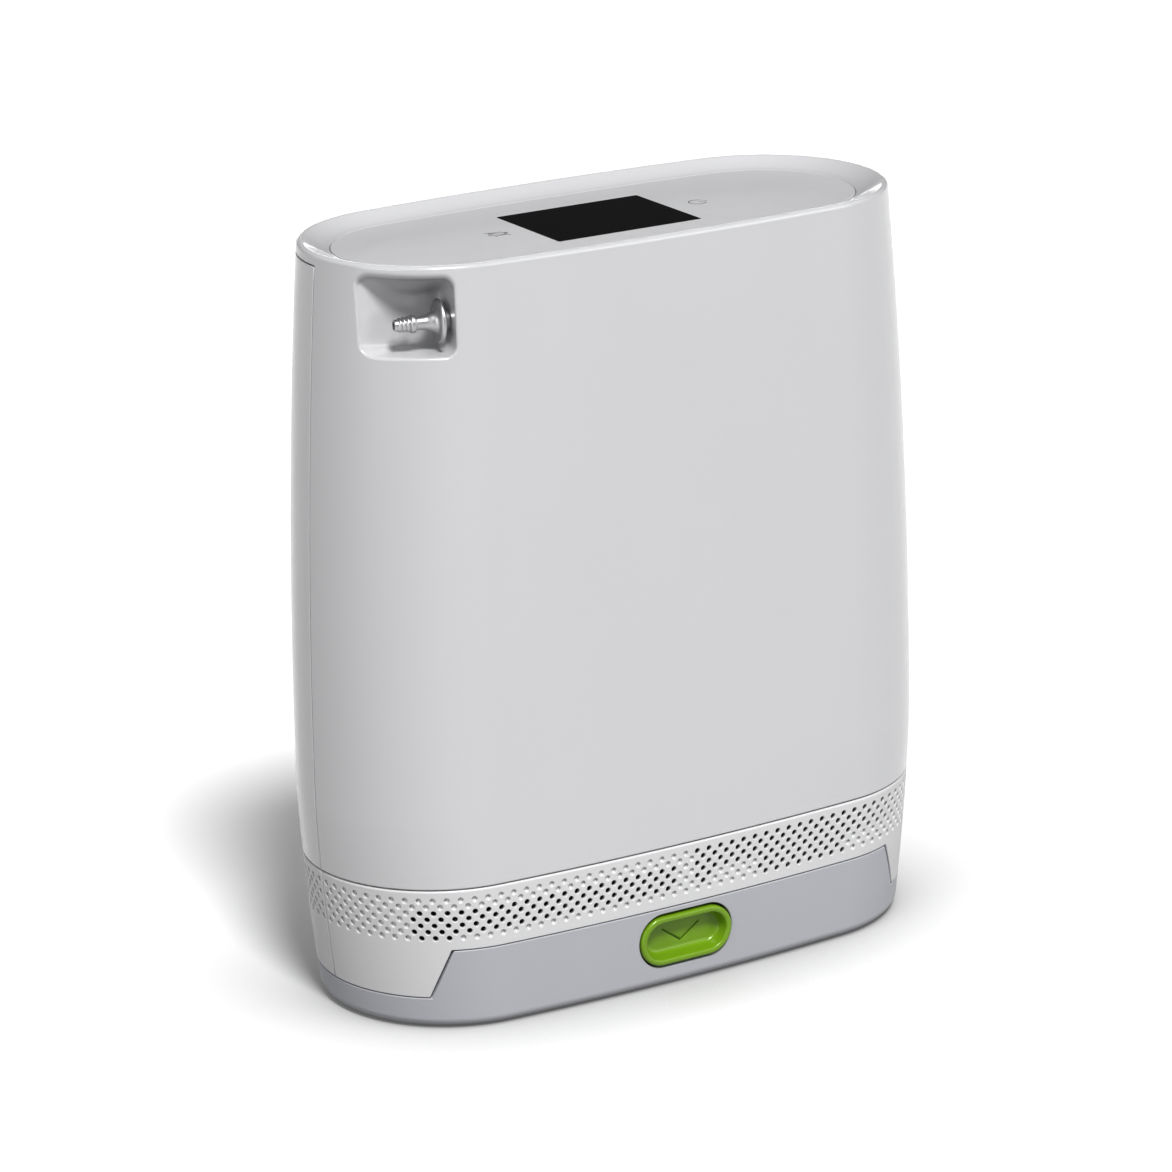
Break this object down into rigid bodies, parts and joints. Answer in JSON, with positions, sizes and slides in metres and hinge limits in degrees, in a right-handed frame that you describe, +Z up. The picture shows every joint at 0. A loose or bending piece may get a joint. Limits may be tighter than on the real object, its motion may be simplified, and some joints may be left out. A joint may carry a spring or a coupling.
{
  "type": "portable oxygen concentrator",
  "caption": "Slim portable oxygen concentrator: oval white housing with display, recessed cannula barb, perforated air band and a slide-off battery with a latch.",
  "frame": {"origin": "middle of the footprint, on the ground under the battery's feet", "axes": "+Z up along the height, +X to the right seen from the front, front face towards -Y"},
  "size_m": [0.2108, 0.091, 0.239],
  "materials": {
    "white_housing": "smooth semi-gloss",
    "white_band": "fine satin",
    "grey_case": "satin",
    "black_glass": "polished",
    "dark_plastic": "moulded satin",
    "circuit_board": "solder mask",
    "chrome": "polished plate",
    "bright_steel": "zinc plated",
    "motor_steel": "laminated",
    "copper_wire": "enamelled wire",
    "bronze": "sintered",
    "gold_contact": "plated",
    "cast_aluminium": "die cast",
    "drawn_aluminium": "drawn satin",
    "zeolite": "fine beads",
    "filter_shell": "translucent",
    "filter_foam": "open-cell foam",
    "silicone": "translucent silicone",
    "black_rubber": "matt",
    "cell_sleeve": "shrink sleeve",
    "latch_green": "semi-gloss"
  },
  "bodies": {
    "unit": {"front_housing": "white_housing", "rear_housing": "white_housing", "front_vent_band": "white_band", "rear_vent_band": "white_band", "top_panel": "white_housing", "display_window": "black_glass", "display_module": "dark_plastic", "touch_key_board": "circuit_board", "outlet_barb": "chrome", "barb_nut": "bright_steel", "outlet_filter": "filter_shell", "oxygen_sensor": "dark_plastic", "product_tubes": "silicone", "chassis": "dark_plastic", "intake_filter": "filter_foam", "silencers": "dark_plastic", "air_tubes": "silicone", "motor_case": "cast_aluminium", "motor_stator": "motor_steel", "stator_windings": "copper_wire", "shaft_bushes": "bronze", "compressor_frame": "cast_aluminium", "fixed_scroll": "cast_aluminium", "scroll_cover": "cast_aluminium", "compressor_bolts": "bright_steel", "vibration_mounts": "black_rubber", "manifold_block": "cast_aluminium", "valve_coils": "dark_plastic", "feed_valve_spring": "bright_steel", "purge_valve_spring": "bright_steel", "sieve_bed_tubes": "drawn_aluminium", "sieve_bed_caps": "dark_plastic", "sieve_media": "zeolite", "product_tank": "drawn_aluminium", "main_board": "circuit_board", "board_components": "dark_plastic", "power_inlet": "dark_plastic", "power_contacts": "gold_contact", "fan_frame": "dark_plastic", "power_connector": "dark_plastic", "case_screws": "bright_steel"},
    "fan": {"fan_rotor": "dark_plastic"},
    "crank": {"crank_shaft": "bright_steel", "motor_rotor": "motor_steel"},
    "orbit": {"orbiting_scroll": "cast_aluminium", "crank_bearing": "bronze"},
    "idler_a": {"idler_crank_a": "bright_steel"},
    "idler_b": {"idler_crank_b": "bright_steel"},
    "idler_c": {"idler_crank_c": "bright_steel"},
    "feed_plunger": {"feed_valve_plunger": "bright_steel"},
    "purge_plunger": {"purge_valve_plunger": "bright_steel"},
    "battery": {"battery_case": "grey_case", "battery_lid": "grey_case", "battery_cells": "cell_sleeve", "battery_board": "circuit_board", "battery_socket": "dark_plastic", "battery_feet": "black_rubber", "battery_screws": "bright_steel"},
    "latch": {"latch_button": "latch_green", "latch_spring": "bright_steel"}
  },
  "joints": [
    {"name": "battery_slide", "type": "slide", "parent": "unit", "child": "battery", "axis": [0, 0, -1], "range_m": [0, 0.04]},
    {"name": "latch_press", "type": "slide", "parent": "battery", "child": "latch", "axis": [0, 1, 0], "range_m": [0, 0.0024], "stiffness_N_per_m": 900, "springref_m": -0.001, "deforming": ["latch_spring"]},
    {"name": "fan_spin", "type": "hinge", "parent": "unit", "child": "fan", "pos_m": [0.072, 0, 0.057], "axis": [0, 0, 1], "continuous": true},
    {"name": "crank_spin", "type": "hinge", "parent": "unit", "child": "crank", "pos_m": [0.01, 0, 0.08], "axis": [0, 0, 1], "continuous": true},
    {"name": "scroll_orbit", "type": "hinge", "parent": "crank", "child": "orbit", "pos_m": [0.013, 0, 0.102], "axis": [0, 0, 1], "continuous": true},
    {"name": "idler_a_spin", "type": "hinge", "parent": "unit", "child": "idler_a", "pos_m": [0.01, 0.0245, 0.097], "axis": [0, 0, 1], "continuous": true},
    {"name": "idler_b_spin", "type": "hinge", "parent": "unit", "child": "idler_b", "pos_m": [-0.01122, -0.01225, 0.097], "axis": [0, 0, 1], "continuous": true},
    {"name": "idler_c_spin", "type": "hinge", "parent": "unit", "child": "idler_c", "pos_m": [0.03122, -0.01225, 0.097], "axis": [0, 0, 1], "continuous": true},
    {"name": "feed_valve_lift", "type": "slide", "parent": "unit", "child": "feed_plunger", "axis": [0, 0, 1], "range_m": [0, 0.0008], "stiffness_N_per_m": 500, "springref_m": -0.002, "deforming": ["feed_valve_spring"]},
    {"name": "purge_valve_lift", "type": "slide", "parent": "unit", "child": "purge_plunger", "axis": [0, 0, 1], "range_m": [0, 0.0008], "stiffness_N_per_m": 500, "springref_m": -0.002, "deforming": ["purge_valve_spring"]}
  ],
  "couplings": [
    {"joint": "scroll_orbit", "follows": "crank_spin", "ratio": -1},
    {"joint": "idler_a_spin", "follows": "crank_spin", "ratio": 1},
    {"joint": "idler_b_spin", "follows": "crank_spin", "ratio": 1},
    {"joint": "idler_c_spin", "follows": "crank_spin", "ratio": 1}
  ]
}
